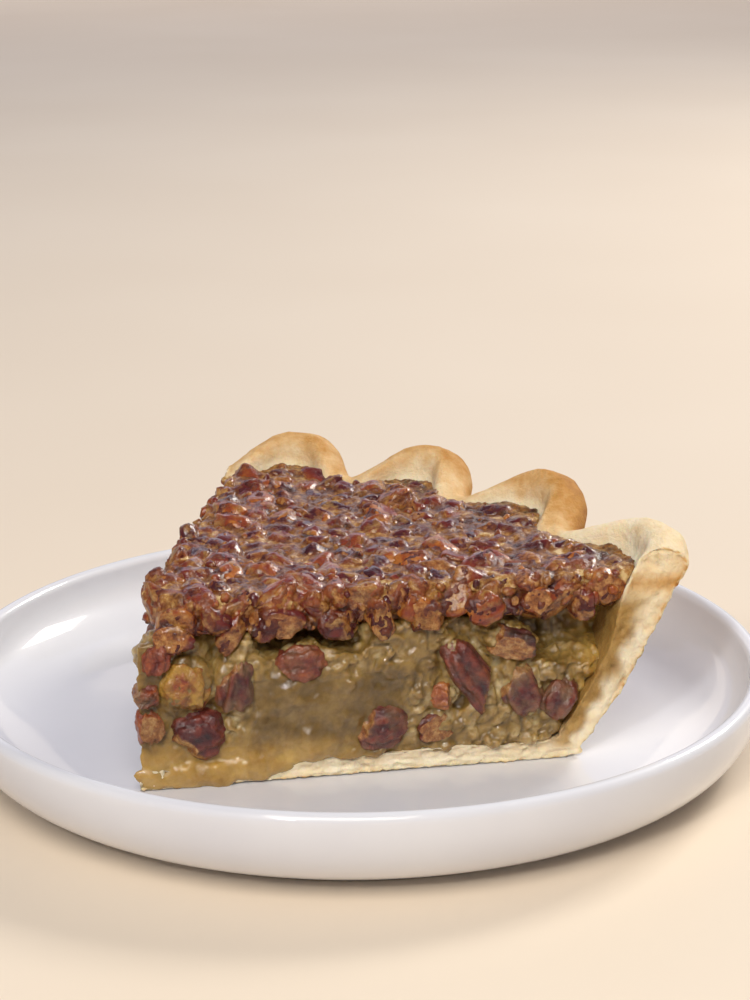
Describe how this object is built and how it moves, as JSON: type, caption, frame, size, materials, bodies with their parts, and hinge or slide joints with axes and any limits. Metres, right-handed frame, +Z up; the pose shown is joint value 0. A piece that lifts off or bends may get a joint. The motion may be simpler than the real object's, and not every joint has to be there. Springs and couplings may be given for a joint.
{
  "type": "slice of pecan pie on a plate",
  "caption": "Slice of deep pecan pie with a fluted pastry edge, soft custard and a baked nut layer, standing on a small round coupe plate.",
  "frame": {"origin": "centre of the plate's foot, on the table", "axes": "+Z up; the picture looks along +Y, with +X to its right; the slice's tip points to -X and -Y"},
  "size_m": [0.18, 0.18, 0.0537],
  "materials": {
    "glaze": "gloss",
    "pastry": "matte",
    "custard": "gloss",
    "nut_layer": "gloss",
    "pecan": "satin"
  },
  "bodies": {
    "root": {"plate": "glaze", "crust": "pastry", "filling": "custard", "pecan_topping": "nut_layer", "pecan_front_01": "pecan", "pecan_front_02": "pecan", "pecan_front_03": "pecan", "pecan_front_04": "pecan", "pecan_front_05": "pecan", "pecan_front_06": "pecan", "pecan_front_07": "pecan", "pecan_front_08": "pecan", "pecan_front_09": "pecan", "pecan_front_10": "pecan", "pecan_front_11": "pecan", "pecan_front_12": "pecan", "pecan_front_13": "pecan", "pecan_front_14": "pecan", "pecan_left_01": "pecan", "pecan_left_02": "pecan", "pecan_left_03": "pecan", "pecan_left_04": "pecan", "pecan_left_05": "pecan", "pecan_left_06": "pecan"}
  },
  "joints": []
}
